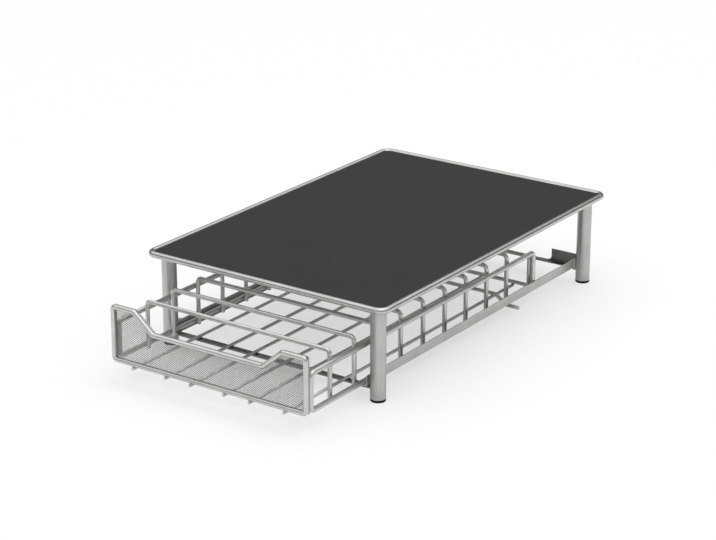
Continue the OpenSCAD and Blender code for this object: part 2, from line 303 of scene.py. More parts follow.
# The sheet steel is lighter than the tube steel. This is painted light, which makes up for the shaded floor
# that the rails mirror.
lit_sheet_steel = satin_steel("Satin nickel-plated steel sheet, lightened as painted light", "#D2D2D1", "#BFBFBE", "Y", 0.36)
plate_low, plate_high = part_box("top_plate")
sheet_gap = 0.1 * MM
plate_edge = 0.2 * MM
plate_corner = rim_bend - rim_d / 2 - sheet_gap
plate_outline = rounded_rectangle(plate_low, plate_high, plate_corner)
top_plate = new_piece("top_plate_sheet", prism(plate_outline, plate_high.z - plate_low.z,
                                               Matrix.Translation((0, 0, plate_low.z))))
top_plate.data.materials.append(lit_sheet_steel)
ease_edges(top_plate, plate_edge)
fit(top_plate, "stand", "steel", "top_plate")


# Mat
# A soft non-slip mat that stops a machine from sliding: foamed rubber with a fine pebbled skin.
# It is die-cut and glued to the plate.

def pebbled_rubber(name, light, dark):
    """Foamed rubber, calendered with a fine pebble. It is matt, so it shows one even tone with a faint tooth.
    The pebble is drawn a little coarser than the real one, to show."""
    pebble_size = 1.1 * MM
    pebble_depth = 0.05 * MM
    blotch_size = 60 * MM
    material, tree, surface = new_material(name)
    place = add(tree, "ShaderNodeTexCoord").outputs["Object"]
    pebbles = add(tree, "ShaderNodeTexVoronoi", {"Vector": place, "Scale": 1 / pebble_size},
                  feature="SMOOTH_F1")
    blotches = add(tree, "ShaderNodeTexNoise", {"Vector": place, "Scale": 1 / blotch_size, "Detail": 3})
    tone = add(tree, "ShaderNodeMath", {0: pebbles.outputs["Distance"], 1: blotches.outputs["Fac"]},
               operation="MULTIPLY")
    colour = add(tree, "ShaderNodeMix", {"Factor": tone.outputs["Value"], 6: linear(light), 7: linear(dark)},
                 data_type="RGBA")
    relief = add(tree, "ShaderNodeBump", {"Height": pebbles.outputs["Distance"], "Distance": pebble_depth},
                 invert=True)
    shader = add(tree, "ShaderNodeBsdfPrincipled", {
        "Base Color": colour.outputs[2], "Roughness": 0.9, "Specular IOR Level": 0.15, "IOR": 1.5,
        "Normal": relief.outputs["Normal"]})
    tree.links.new(shader.outputs["BSDF"], surface)
    return material


mat_low, mat_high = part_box("top_mat")
mat_edge = 0.5 * MM
mat_outline = rounded_rectangle(mat_low, mat_high, plate_corner)
top_mat = new_piece("top_mat_sheet", prism(mat_outline, mat_high.z - mat_low.z,
                                           Matrix.Translation((0, 0, mat_low.z))))
top_mat.data.materials.append(pebbled_rubber("Foamed rubber, pebbled", "#3A3A3A", "#313131"))
ease_edges(top_mat, mat_edge, 3)
fit(top_mat, "stand", "mat", "top_mat")


# Legs
# Steel tubes, saw-cut and deburred at the foot, each fillet-welded to the plate at its top.
# They are plated with the rest.

CORNERS = ["front_left", "front_right", "rear_left", "rear_right"]


def turned(profile, centre, sides):
    """A mesh of a closed profile of radius and height, turned about an upright axis."""
    merge_within = 0.001 * MM
    angles = [2 * math.pi * k / sides for k in range(sides)]
    points = [(centre.x + r * math.cos(angle), centre.y + r * math.sin(angle), z)
              for r, z in profile for angle in angles]
    count = len(profile)
    faces = []
    for i in range(count):
        here = i * sides
        there = (i + 1) % count * sides
        for k in range(sides):
            ahead = (k + 1) % sides
            faces.append((here + k, here + ahead, there + ahead, there + k))
    mesh = bpy.data.meshes.new("turned")
    mesh.from_pydata(points, [], faces)
    shape = bmesh.new()
    shape.from_mesh(mesh)
    bmesh.ops.remove_doubles(shape, verts=shape.verts, dist=merge_within)
    bmesh.ops.dissolve_degenerate(shape, edges=shape.edges, dist=merge_within)
    bmesh.ops.recalc_face_normals(shape, faces=shape.faces)
    shape.to_mesh(mesh)
    shape.free()
    return mesh


leg_wall = 1.2 * MM
leg_chamfer = 0.4 * MM
tube_sides = 64
tube_steel = satin_steel("Satin nickel-plated steel tube", "#C2C2C1", "#AFAFAE", "Z")
leg_axes = {}
leg_tubes = []
for corner in CORNERS:
    low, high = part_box("leg_" + corner)
    leg_r = (high.x - low.x) / 2
    leg_axes[corner] = (low + high) / 2
    profile = [(leg_r - leg_chamfer, low.z), (leg_r, low.z + leg_chamfer), (leg_r, high.z),
               (leg_r - leg_wall, high.z), (leg_r - leg_wall, low.z)]
    leg_tubes.append(turned(profile, leg_axes[corner], tube_sides))
    leg_top = high.z
legs = new_piece("leg_tubes", joined(leg_tubes))
legs.data.materials.append(tube_steel)
fit(legs, "stand", "steel", *["leg_" + corner for corner in CORNERS])


# Feet
# Black polyethylene caps with a plug that is pushed into the leg.
# They are moulded, with a rounded lower edge and a shallow dish underneath.

def moulded_polyethylene(name, colour):
    """Moulded polyethylene: a dull waxy black, with the fine spark texture of its mould."""
    texture_size = 0.4 * MM
    texture_depth = 0.02 * MM
    material, tree, surface = new_material(name)
    place = add(tree, "ShaderNodeTexCoord").outputs["Object"]
    spark = add(tree, "ShaderNodeTexNoise", {"Vector": place, "Scale": 1 / texture_size, "Detail": 2})
    relief = add(tree, "ShaderNodeBump", {"Height": spark.outputs["Fac"], "Distance": texture_depth})
    gloss = add(tree, "ShaderNodeMapRange", {"Value": spark.outputs["Fac"], "To Min": 0.4, "To Max": 0.55})
    shader = add(tree, "ShaderNodeBsdfPrincipled", {
        "Base Color": linear(colour), "Roughness": gloss.outputs["Result"], "IOR": 1.51,
        "Specular IOR Level": 0.2, "Normal": relief.outputs["Normal"]})
    tree.links.new(shader.outputs["BSDF"], surface)
    return material


def arc(centre, r, start, end, steps=6):
    """Points on an arc in a plane, from one angle to another in degrees."""
    angles = [math.radians(start + (end - start) * k / steps) for k in range(steps + 1)]
    return [(centre[0] + r * math.cos(angle), centre[1] + r * math.sin(angle)) for angle in angles]


foot_edge = 1.0 * MM
foot_dish = 0.8 * MM
dish_inset = 2.6 * MM
plug_gap = 0.1 * MM
plug_r = leg_r - leg_wall - plug_gap
foot_caps = []
for corner in CORNERS:
    low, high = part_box("foot_" + corner)
    foot_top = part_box("leg_" + corner)[0].z
    dish_r = leg_r - dish_inset
    profile = [(0, low.z + foot_dish), (dish_r - foot_dish, low.z + foot_dish), (dish_r, low.z)]
    profile += arc((leg_r - foot_edge, low.z + foot_edge), foot_edge, -90, 0)
    profile += [(leg_r, foot_top), (plug_r, foot_top), (plug_r, high.z), (0, high.z)]
    foot_caps.append(turned(profile, leg_axes[corner], tube_sides))
feet = new_piece("foot_caps", joined(foot_caps))
feet.data.materials.append(moulded_polyethylene("Black polyethylene, moulded", "#0D0D0D"))
fit(feet, "stand", "foot", *["foot_" + corner for corner in CORNERS])


# Rails
# Two angles of steel sheet, folded lengthways, which leaves a rounded outer corner.
# The web is welded to the legs, and the drawer runs on the ledge.

SIDES = {"left": -1, "right": 1}
sheet_t = 1.2 * MM
fold_in = 0.6 * MM
fold_out = fold_in + sheet_t
sheet_edge = 0.15 * MM
rail_low, rail_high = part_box("rail_right")
rail_profile = [(rail_high.x, rail_high.z), (rail_high.x - sheet_t, rail_high.z)]
rail_profile += arc((rail_high.x - fold_out, rail_low.z + fold_out), fold_in, 0, -90)
rail_profile += [(rail_low.x, rail_low.z + sheet_t), (rail_low.x, rail_low.z)]
rail_profile += arc((rail_high.x - fold_out, rail_low.z + fold_out), fold_out, -90, 0)
stand_upright = Matrix.Rotation(math.pi / 2, 4, "X")
rail_meshes = []
for sign in SIDES.values():
    outline = [(sign * x, z) for x, z in rail_profile]
    rail_meshes.append(prism(outline, rail_high.y - rail_low.y,
                             Matrix.Translation((0, rail_high.y, 0)) @ stand_upright))
rails = new_piece("rail_angles", joined(rail_meshes), sharp_angle=30)
rails.data.materials.append(lit_sheet_steel)
ease_edges(rails, sheet_edge)
fit(rails, "stand", "steel", *["rail_" + side for side in SIDES])


# Rail lugs
# Small steel plates between the rail's web and the leg, nipped to the leg's round and welded to both.
# They carry the rail's load into the legs.

lug_meshes = []
for corner in CORNERS:
    low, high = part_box("rail_lug_" + corner)
    axis = leg_axes[corner]
    out = math.copysign(1, axis.x)
    along = math.copysign(1, axis.y - (low.y + high.y) / 2)
    web = min(abs(low.x), abs(high.x))
    face = max(abs(low.x), abs(high.x))
    far = max(abs(low.y - axis.y), abs(high.y - axis.y))
    near = min(abs(low.y - axis.y), abs(high.y - axis.y))
    leg_x = abs(axis.x)
    from_angle = math.degrees(math.acos((leg_x - face) / leg_r))
    to_angle = math.degrees(math.asin(near / leg_r))
    outline = [(web, -far), (face, -far)]
    outline += arc((leg_x, 0), leg_r, 180 + from_angle, 180 + to_angle)
    outline += [(web, -near)]
    placed = [(out * x, axis.y + along * y) for x, y in outline]
    lug_meshes.append(prism(placed, high.z - low.z, Matrix.Translation((0, 0, low.z))))
lugs = new_piece("rail_lug_plates", joined(lug_meshes))
lugs.data.materials.append(lit_sheet_steel)
ease_edges(lugs, sheet_edge)
fit(lugs, "stand", "steel", *["rail_lug_" + corner for corner in CORNERS])


# Front cross bar
# A flat steel bar between the front legs, under the drawer's way, which keeps the legs apart.
# Its ends are nipped to the legs' round and welded there.

# Both cross bars take a much darker copy of the plated steel. This is painted shade, for the shade that falls
# on them under the drawer and the top.
shaded_bar_steel = satin_steel("Satin nickel-plated steel bar, darkened as painted shade", "#8E8E8D", "#7A7A79", "X", 0.36)
bar_edge = 0.25 * MM
bar_low, bar_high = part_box("front_cross_bar")
left_leg = leg_axes["front_left"]
right_leg = leg_axes["front_right"]
behind = math.degrees(math.asin((bar_high.y - right_leg.y) / leg_r))
before = math.degrees(math.asin((bar_low.y - right_leg.y) / leg_r))
bar_outline = arc((right_leg.x, right_leg.y), leg_r, 180 - before, 180 - behind)
bar_outline += arc((left_leg.x, left_leg.y), leg_r, behind, before)
front_bar = new_piece("front_cross_bar_flat", prism(bar_outline, bar_high.z - bar_low.z,
                                                    Matrix.Translation((0, 0, bar_low.z))))
front_bar.data.materials.append(shaded_bar_steel)
ease_edges(front_bar, bar_edge)
fit(front_bar, "stand", "steel", "front_cross_bar")


# Rear cross bar
# A strip of steel sheet between the rails, pressed from one blank, with ends folded up against the rear legs.
# Each fold starts in a round, which keeps the sheet from tearing. The ends are welded to the legs.

def folded_end(fold_y, mid_z, sign, near, far, height, fillet, bend):
    """Points and faces of one folded-up end, on the middle of the sheet."""
    turn = arc((fold_y - bend, mid_z + bend), bend, -90, 0)
    points = []
    for x in (near - fillet, far):
        points += [(sign * x, y, z) for y, z in turn]
    count = len(turn)
    faces = [(k, k + 1, count + k + 1, count + k) for k in range(count - 1)]
    foot_z = mid_z + bend
    first = len(points)
    points += [(sign * x, fold_y, z) for x, z in arc((near - fillet, foot_z + fillet), fillet, -90, 0)[1:]]
    points += [(sign * near, fold_y, height), (sign * far, fold_y, height)]
    faces.append([count - 1] + list(range(first, len(points))) + [2 * count - 1])
    return points, faces


rear_low, rear_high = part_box("rear_cross_bar")
rear_bend = 1.2 * MM
flange_l = 33.9 * MM
flange_fillet = 5 * MM
merge_within = 0.01 * MM
strip_half = rail_low.x - sheet_gap
strip_z = rear_low.z + sheet_t / 2
fold_y = rear_high.y - sheet_t / 2
fold_start = rear_high.x - flange_l
shape = bmesh.new()
bend_in = fold_y - rear_bend
relief_x = fold_start - flange_fillet
strip_outline = [(-strip_half, rear_low.y), (strip_half, rear_low.y), (strip_half, bend_in),
                 (relief_x, bend_in), (relief_x, rear_high.y), (-relief_x, rear_high.y),
                 (-relief_x, bend_in), (-strip_half, bend_in)]
shape.faces.new([shape.verts.new((x, y, strip_z)) for x, y in strip_outline])
for sign in SIDES.values():
    points, faces = folded_end(fold_y, strip_z, sign, fold_start, rear_high.x, rear_high.z, flange_fillet,
                               rear_bend)
    corners = [shape.verts.new(p) for p in points]
    for face in faces:
        shape.faces.new([corners[k] for k in face])
bmesh.ops.remove_doubles(shape, verts=shape.verts, dist=merge_within)
bmesh.ops.recalc_face_normals(shape, faces=shape.faces)
rear_mesh = bpy.data.meshes.new("rear_cross_bar")
shape.to_mesh(rear_mesh)
shape.free()
rear_bar = new_piece("rear_cross_bar_sheet", rear_mesh)
# The darker bar steel is painted shade.
rear_bar.data.materials.append(shaded_bar_steel)
thick = rear_bar.modifiers.new("sheet", "SOLIDIFY")
thick.thickness = sheet_t
thick.offset = 0
ease_edges(rear_bar, sheet_edge)
fit(rear_bar, "stand", "steel", "rear_cross_bar")


# Stand welds
# Fillet welds, plated over with the rest: the legs under the plate, the rails, lugs and bars on the legs,
# and the plate in the rim. Each is a row of overlapping beads, as a welder lays them.

bead_least = 0.88
bead_most = 1.1
bead_seed = 5
weld_tree, given, result = new_tree("Weld beads", {"Finish": "NodeSocketMaterial"})
bead = add(weld_tree, "GeometryNodeMeshIcoSphere", {"Radius": 1, "Subdivisions": 2})
bead_size = add(weld_tree, "GeometryNodeInputNamedAttribute", {"Name": "size"}, data_type="FLOAT_VECTOR")
uneven = add(weld_tree, "FunctionNodeRandomValue", {2: bead_least, 3: bead_most, "Seed": bead_seed},
             data_type="FLOAT")
bead_scale = add(weld_tree, "ShaderNodeVectorMath", {
    0: bead_size.outputs["Attribute"], "Scale": uneven.outputs[1]}, operation="SCALE")
laid = add(weld_tree, "GeometryNodeInstanceOnPoints", {
    "Points": given["Geometry"], "Instance": bead.outputs["Mesh"], "Scale": bead_scale.outputs["Vector"]})
solid = add(weld_tree, "GeometryNodeRealizeInstances", {"Geometry": laid.outputs["Instances"]})
finished = add(weld_tree, "GeometryNodeSetMaterial", {
    "Geometry": solid.outputs["Geometry"], "Material": given["Finish"]})
weld_tree.links.new(finished.outputs["Geometry"], result)
weld_steel = satin_steel("Nickel-plated weld", "#B8B8B7", "#9C9C9B", "Z", 0.4)


def bead_row(start, end, pitch, size):
    """Beads in a straight row, each as a place and its half sizes."""
    start = Vector(start)
    end = Vector(end)
    count = max(1, round((end - start).length / pitch))
    return [(start.lerp(end, k / count), size) for k in range(count + 1)]


def welds(name, body, beads):
    """The weld beads of one body."""
    base = bpy.data.meshes.new(name + "_places")
    base.from_pydata([place for place, size in beads], [], [])
    sizes = [v for place, size in beads for v in size]
    base.attributes.new("size", "FLOAT_VECTOR", "POINT").data.foreach_set("vector", sizes)
    piece = grow(weld_tree, base, name, {"Finish": weld_steel})
    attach(piece, body)


small = [0.75 * MM] * 3
fillet = [1.2 * MM] * 3
flat = [0.9 * MM, 0.9 * MM, 0.55 * MM]
tack = [1.1 * MM, 1.1 * MM, 0.7 * MM]
tack_half = 7 * MM
bead_pitch = 0.8 * MM
ring_beads = 48
bar_end_beads = 10
web_weld_set = 3.2 * MM
side_tacks = (-0.36, -0.12, 0.12, 0.36)
end_tacks = (-0.27, 0.27)
proud = 0.3 * MM
end_gap = 1.2 * MM
stand_beads = []
for corner, axis in leg_axes.items():
    out = math.copysign(1, axis.x)
    for x, y in arc((axis.x, axis.y), leg_r + proud, 0, 360, ring_beads)[1:]:
        stand_beads.append((Vector((x, y, leg_top)), fillet))
    low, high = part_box("rail_lug_" + corner)
    inwards = math.copysign(1, (low.y + high.y) / 2 - axis.y)
    web = min(abs(low.x), abs(high.x))
    face = max(abs(low.x), abs(high.x))
    touch = math.sqrt(leg_r ** 2 - (abs(axis.x) - face) ** 2)
    lug_end = max(abs(low.y - axis.y), abs(high.y - axis.y))
    upright = [(face + proud, inwards * (touch + proud)), (web + proud, inwards * (lug_end + proud))]
    if axis.y < 0:
        upright.append((web + proud, -inwards * web_weld_set))
    for x, y in upright:
        stand_beads += bead_row((out * x, axis.y + y, rail_low.z + end_gap),
                                (out * x, axis.y + y, rail_high.z - end_gap), bead_pitch, small)
    if axis.y < 0:
        end_arc = arc((axis.x, axis.y), leg_r + proud, 90 + out * (90 - before), 90 + out * (90 - behind),
                      bar_end_beads)
        stand_beads += [(Vector((x, y, bar_high.z)), flat) for x, y in end_arc]
    else:
        for y in (rear_high.y + proud, rear_high.y - sheet_t - proud):
            stand_beads += bead_row((out * rear_high.x, y, rear_low.z + 2 * end_gap),
                                    (out * rear_high.x, y, rear_high.z - end_gap), bead_pitch, small)
        stand_beads += bead_row((out * strip_half, rear_low.y + end_gap, rear_low.z),
                                (out * strip_half, rear_high.y - 2 * end_gap, rear_low.z), bead_pitch, flat)
plate_middle = (plate_low + plate_high) / 2
plate_size = plate_high - plate_low
for sign in SIDES.values():
    for share in side_tacks:
        x = sign * plate_high.x
        y = plate_middle.y + share * plate_size.y
        stand_beads += bead_row((x, y - tack_half, plate_low.z), (x, y + tack_half, plate_low.z),
                                bead_pitch, tack)
    for share in end_tacks:
        x = share * plate_size.x
        y = plate_middle.y + sign * plate_size.y / 2
        stand_beads += bead_row((x - tack_half, y, plate_low.z), (x + tack_half, y, plate_low.z),
                                bead_pitch, tack)
welds("stand_welds", "stand", stand_beads)


# Drawer front
# A thick wire bent to the outline of the drawer's front, with a dip for the fingers between two ears.
# Its ends are butt-welded in the middle of the lower run.

# The drawer's wire steel is lighter than the rim's. This is painted light, which makes up for the dark
# underside of the top that these wires mirror.
lit_wire_steel = satin_steel("Satin nickel-plated steel wire, lightened as painted light", "#D6D6D5", "#C2C2C1", "wire", 0.32)
front_low, front_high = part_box("front_frame")
front_d = front_high.y - front_low.y
front_r = front_d / 2
front_axis_y = front_low.y + front_r
front_x = front_high.x - front_r
front_bottom = front_low.z + front_r
front_top = front_high.z - front_r
ear_w = 28.5 * MM
dip_run = 24.5 * MM
dip_depth = 20.6 * MM
ear_x = front_x - ear_w
dip_x = ear_x - dip_run
dip_z = front_top - dip_depth
front_bend = 3.2 * MM
dip_bend = 6 * MM
front_outline = [(-front_x, front_bottom), (front_x, front_bottom), (front_x, front_top), (ear_x, front_top),
                 (dip_x, dip_z), (-dip_x, dip_z), (-ear_x, front_top), (-front_x, front_top)]
front_bends = [front_bend] * 3 + [dip_bend] * 4 + [front_bend]
front_path = [(x, front_axis_y, z) for x, z in front_outline]
front_frame = wires("front_frame_wire", [(front_path, front_bends)], front_d, lit_wire_steel, sides=32)
fit(front_frame, "drawer", "steel", "front_frame")


# Front mesh
# Expanded steel mesh in a pressed edge band, welded to the back of the front wire.
# Slitting and stretching leaves staggered diamonds, with strands that lean out of the sheet.

mesh_low, mesh_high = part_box("front_mesh")
hem_w = 0.8 * MM
hem_past = 1.3 * MM
strand_past = 0.7 * MM
diamond_w = 2.9 * MM
diamond_h = 2.4 * MM
strand_w = 0.62 * MM
strand_t = 0.42 * MM
strand_lean = 35
hem_edge = 0.5 * MM
mesh_steel = satin_steel("Satin nickel-plated expanded steel", "#B6B6B5", "#A4A4A3", "X", 0.38)
dip_slope = (front_top - dip_z) / (ear_x - dip_x)
dip_lean = math.tan(math.atan(dip_slope) / 2)


def inset_outline(margin):
    """The front's outline drawn in by a margin."""
    return [(-front_x + margin, front_bottom + margin), (front_x - margin, front_bottom + margin),
            (front_x - margin, front_top - margin), (ear_x + dip_lean * margin, front_top - margin),
            (dip_x + dip_lean * margin, dip_z - margin), (-dip_x - dip_lean * margin, dip_z - margin),
            (-ear_x - dip_lean * margin, front_top - margin), (-front_x + margin, front_top - margin)]


# The tree that lays zigzag strands in rows and trims them to the front's outline
strand_tree, given, result = new_tree("Expanded mesh", {
    "Diamond width": "NodeSocketFloat", "Diamond height": "NodeSocketFloat",
    "Strand width": "NodeSocketFloat", "Strand thickness": "NodeSocketFloat", "Lean": "NodeSocketFloat",
    "Columns": "NodeSocketInt", "Rows": "NodeSocketInt", "Half width": "NodeSocketFloat",
    "Low": "NodeSocketFloat", "High": "NodeSocketFloat", "Dip slope": "NodeSocketFloat",
    "Dip start": "NodeSocketFloat", "Dip height": "NodeSocketFloat", "Depth": "NodeSocketFloat",
    "Finish": "NodeSocketMaterial"})


def maths(operation, *values):
    """One sum in the strands' tree."""
    return add(strand_tree, "ShaderNodeMath", dict(enumerate(values)), operation=operation).outputs["Value"]


half_w = maths("MULTIPLY", given["Diamond width"], 0.5)
half_h = maths("MULTIPLY", given["Diamond height"], 0.5)
line = add(strand_tree, "GeometryNodeMeshLine", {
    "Count": given["Columns"],
    "Offset": add(strand_tree, "ShaderNodeCombineXYZ", {"X": half_w}).outputs["Vector"]})
rows = add(strand_tree, "GeometryNodeMeshLine", {
    "Count": given["Rows"],
    "Offset": add(strand_tree, "ShaderNodeCombineXYZ", {"Z": half_h}).outputs["Vector"]})
laid = add(strand_tree, "GeometryNodeInstanceOnPoints", {
    "Points": rows.outputs["Mesh"], "Instance": line.outputs["Mesh"]})
chains = add(strand_tree, "GeometryNodeRealizeInstances", {"Geometry": laid.outputs["Instances"]})
number = add(strand_tree, "GeometryNodeInputIndex").outputs["Index"]
column = maths("MODULO", number, given["Columns"])
row_number = maths("FLOOR", maths("DIVIDE", number, given["Columns"]))
parity = maths("MODULO", maths("ADD", column, row_number), 2.0)
swing = maths("MULTIPLY", maths("SUBTRACT", parity, 0.5), half_h)
corner_x = maths("MULTIPLY", maths("MULTIPLY", maths("SUBTRACT", given["Columns"], 1.0), half_w), -0.5)
shift = add(strand_tree, "ShaderNodeCombineXYZ", {
    "X": corner_x, "Y": given["Depth"], "Z": maths("ADD", swing, given["Low"])})
zigzag = add(strand_tree, "GeometryNodeSetPosition", {
    "Geometry": chains.outputs["Geometry"], "Offset": shift.outputs["Vector"]})
point = add(strand_tree, "ShaderNodeSeparateXYZ", {
    "Vector": add(strand_tree, "GeometryNodeInputPosition").outputs["Position"]})
across = maths("ABSOLUTE", point.outputs["X"])
climb = maths("MULTIPLY", maths("SUBTRACT", across, given["Dip start"]), given["Dip slope"])
roof = maths("MINIMUM", maths("MAXIMUM", maths("ADD", climb, given["Dip height"]), given["Dip height"]),
              given["High"])
above = maths("GREATER_THAN", point.outputs["Z"], roof)
beside = maths("GREATER_THAN", across, given["Half width"])
below = maths("LESS_THAN", point.outputs["Z"], given["Low"])
outside = maths("MAXIMUM", maths("MAXIMUM", above, beside), below)
trimmed = add(strand_tree, "GeometryNodeDeleteGeometry", {
    "Geometry": zigzag.outputs["Geometry"], "Selection": outside}, domain="POINT")
strands = add(strand_tree, "GeometryNodeMeshToCurve", {"Mesh": trimmed.outputs["Geometry"]})
leaning = add(strand_tree, "GeometryNodeSetCurveTilt", {
    "Curve": strands.outputs["Curve"], "Tilt": given["Lean"]})
bar = add(strand_tree, "GeometryNodeCurvePrimitiveQuadrilateral", {
    "Width": given["Strand width"], "Height": given["Strand thickness"]})
cut = add(strand_tree, "GeometryNodeCurveToMesh", {
    "Curve": leaning.outputs["Curve"], "Profile Curve": bar.outputs["Curve"], "Fill Caps": True})
finished = add(strand_tree, "GeometryNodeSetMaterial", {
    "Geometry": cut.outputs["Mesh"], "Material": given["Finish"]})
strand_tree.links.new(finished.outputs["Geometry"], result)

mesh_columns = 4 * int((front_x + strand_past) / diamond_w) + 1
mesh_rows = int((front_top - front_bottom + 2 * strand_past) / (diamond_h / 2)) + 1
strand_mesh = grow(strand_tree, bpy.data.meshes.new("mesh_seed"), "front_mesh_strands", {
    "Diamond width": diamond_w, "Diamond height": diamond_h, "Strand width": strand_w,
    "Strand thickness": strand_t, "Lean": math.radians(strand_lean), "Columns": mesh_columns,
    "Rows": mesh_rows, "Half width": front_x + strand_past, "Low": front_bottom - strand_past,
    "High": front_top + strand_past, "Dip slope": dip_slope,
    "Dip start": dip_x - dip_lean * strand_past, "Dip height": dip_z + strand_past,
    "Depth": (mesh_low.y + mesh_high.y) / 2, "Finish": mesh_steel})
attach(strand_mesh, "drawer")

hem_shape = bmesh.new()
outer = [hem_shape.verts.new((x, mesh_high.y, z)) for x, z in inset_outline(-hem_past)]
inner = [hem_shape.verts.new((x, mesh_high.y, z)) for x, z in inset_outline(hem_w)]
band = [hem_shape.faces.new([outer[k - 1], outer[k], inner[k], inner[k - 1]]) for k in range(len(outer))]
raised = bmesh.ops.extrude_face_region(hem_shape, geom=band)
lifted = [v for v in raised["geom"] if isinstance(v, bmesh.types.BMVert)]
bmesh.ops.translate(hem_shape, verts=lifted, vec=(0, mesh_low.y - mesh_high.y, 0))
bmesh.ops.recalc_face_normals(hem_shape, faces=hem_shape.faces)
hem_mesh = bpy.data.meshes.new("hem")
hem_shape.to_mesh(hem_mesh)
hem_shape.free()
hem = new_piece("front_mesh_hem", hem_mesh, sharp_angle=30)
hem.data.materials.append(mesh_steel)
ease_edges(hem, hem_edge, 3)
fit(hem, "drawer", "mesh", "front_mesh")


# Side loops
# Two closed loops of steel wire, the drawer's sides, bent and butt-welded.
# Their front posts are welded behind the front, and their lower runs slide on the rails' ledges.

side_paths = []
side_bend = 5 * MM
for side in SIDES:
    low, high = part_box("side_loop_" + side)
    side_d = high.x - low.x
    side_r = side_d / 2
    x = (low.x + high.x) / 2
    loop = [(x, low.y + side_r, low.z + side_r), (x, high.y - side_r, low.z + side_r),
            (x, high.y - side_r, high.z - side_r), (x, low.y + side_r, high.z - side_r)]
    side_paths.append((loop, [side_bend] * 4))
side_loops = wires("side_loop_wires", side_paths, side_d, lit_wire_steel)
fit(side_loops, "drawer", "steel", *["side_loop_" + side for side in SIDES])


# Divider hoops
# Wires bent to an upside-down U across the drawer, in an even row, which part it into narrow bays.
# Each leg is spot-welded inside the upper and lower run of a side loop.

hoop_names = [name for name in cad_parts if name.startswith("divider_hoop_")]
hoop_names.sort(key=lambda name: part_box(name)[0].y)
hoop_bend = 5 * MM
hoop_low, hoop_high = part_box(hoop_names[0])
hoop_d = hoop_high.y - hoop_low.y
hoop_r = hoop_d / 2
hoop_x = hoop_high.x - hoop_r
hoop_top = hoop_high.z - hoop_r
hoop_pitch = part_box(hoop_names[1])[0].y - hoop_low.y
hoop_y = hoop_low.y + hoop_r
hoop = [(-hoop_x, hoop_y, hoop_low.z), (-hoop_x, hoop_y, hoop_top), (hoop_x, hoop_y, hoop_top),
        (hoop_x, hoop_y, hoop_low.z)]
hoops = wires("divider_hoop_wires", [(hoop, [hoop_bend] * 4)], hoop_d, lit_wire_steel, closed=False,
              copies=len(hoop_names), step=(0, hoop_pitch, 0))
fit(hoops, "drawer", "steel", *hoop_names)


# Floor wires
# Straight steel wires in pairs along the drawer, which make its floor.
# They are welded under the front and rear frames, and their cut ends show under the front.

floor_names = sorted(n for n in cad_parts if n.startswith("floor_wire_"))
floor_paths = []
for name in floor_names:
    low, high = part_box(name)
    middle = (low + high) / 2
    floor_d = high.x - low.x
    floor_paths.append(([(middle.x, low.y, middle.z), (middle.x, high.y, middle.z)], [0, 0]))
floor_wires = wires("floor_wires", floor_paths, floor_d, lit_wire_steel, closed=False)
fit(floor_wires, "drawer", "steel", *floor_names)


# Rear frame
# A rectangle of steel wire that closes the back of the drawer.
# It is spot-welded between the side loops' rear posts, and stands on the floor wires.

low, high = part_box("rear_frame")
rear_r = (high.y - low.y) / 2
rear_bend_r = 4 * MM
rear_y = low.y + rear_r
rear_loop = [(low.x + rear_r, rear_y, low.z + rear_r), (high.x - rear_r, rear_y, low.z + rear_r),
             (high.x - rear_r, rear_y, high.z - rear_r), (low.x + rear_r, rear_y, high.z - rear_r)]
rear_frame = wires("rear_frame_wire", [(rear_loop, [rear_bend_r] * 4)], 2 * rear_r, lit_wire_steel)
fit(rear_frame, "drawer", "steel", "rear_frame")


# Stop wire
# A wire across the floor wires, cranked down at both ends so that they pass under the rails.
# Its ends meet the front legs when the drawer is open, and keep it from tipping.

low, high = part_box("stop_wire")
stop_r = (high.y - low.y) / 2
stop_y = low.y + stop_r
stop_bend = 5 * MM
bend_past_floor = 3.6 * MM
bend_before_rail = 4.2 * MM
outer_floor_x = max(abs(low.x + high.x) / 2 for low, high in map(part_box, floor_names))
crank_in = outer_floor_x + bend_past_floor
crank_out = abs(rail_low.x) - bend_before_rail
stop_low = low.z + stop_r
stop_high = high.z - stop_r
stop_path = [(low.x, stop_y, stop_low), (-crank_out, stop_y, stop_low), (-crank_in, stop_y, stop_high),
             (crank_in, stop_y, stop_high), (crank_out, stop_y, stop_low), (high.x, stop_y, stop_low)]
stop_wire = wires("stop_wire_rod", [(stop_path, [stop_bend] * 6)], 2 * stop_r, lit_wire_steel, closed=False)
fit(stop_wire, "drawer", "steel", "stop_wire")


# Drawer welds
# Resistance welds at the crossings, where the wires are squeezed together and a little metal swells out.
# They are plated over with the wires.

spot = 1.7 * MM
swell = 0.9 * MM
post_welds = (0.3, 0.7)
drawer_beads = []
side_x = front_x
side_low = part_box("side_loop_right")[0].z + side_r
side_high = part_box("side_loop_right")[1].z - side_r
for sign in SIDES.values():
    inner = sign * (side_x - side_r)
    for k in range(len(hoop_names)):
        for z in (side_low, side_high):
            drawer_beads.append((Vector((inner, hoop_y + k * hoop_pitch, z)), [swell, spot, spot]))
    for share in post_welds:
        z = side_low + share * (side_high - side_low)
        drawer_beads.append((Vector((sign * side_x, mesh_high.y, z)), [spot, swell, spot]))
        drawer_beads.append((Vector((inner, rear_y, z)), [swell, spot, spot]))
floor_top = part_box(floor_names[0])[1].z
for name in floor_names:
    low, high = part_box(name)
    for y in (front_axis_y, stop_y, rear_y):
        bead_half = min(spot, high.y - y)
        drawer_beads.append((Vector(((low.x + high.x) / 2, y, floor_top)), [spot, bead_half, swell]))
for x, z in front_outline:
    ahead = Vector((x, z)) - Vector((math.copysign(front_bend, x), 0))
    drawer_beads.append((Vector((ahead.x, mesh_low.y, ahead.y)), [spot, swell, spot]))
welds("drawer_welds", "drawer", drawer_beads)


# Studio
# A plain pale floor that sweeps up a little way, under a bright ceiling, with darker walls between them
# that the metal mirrors as thin lines. The floor looks white but keeps the object's shadow.

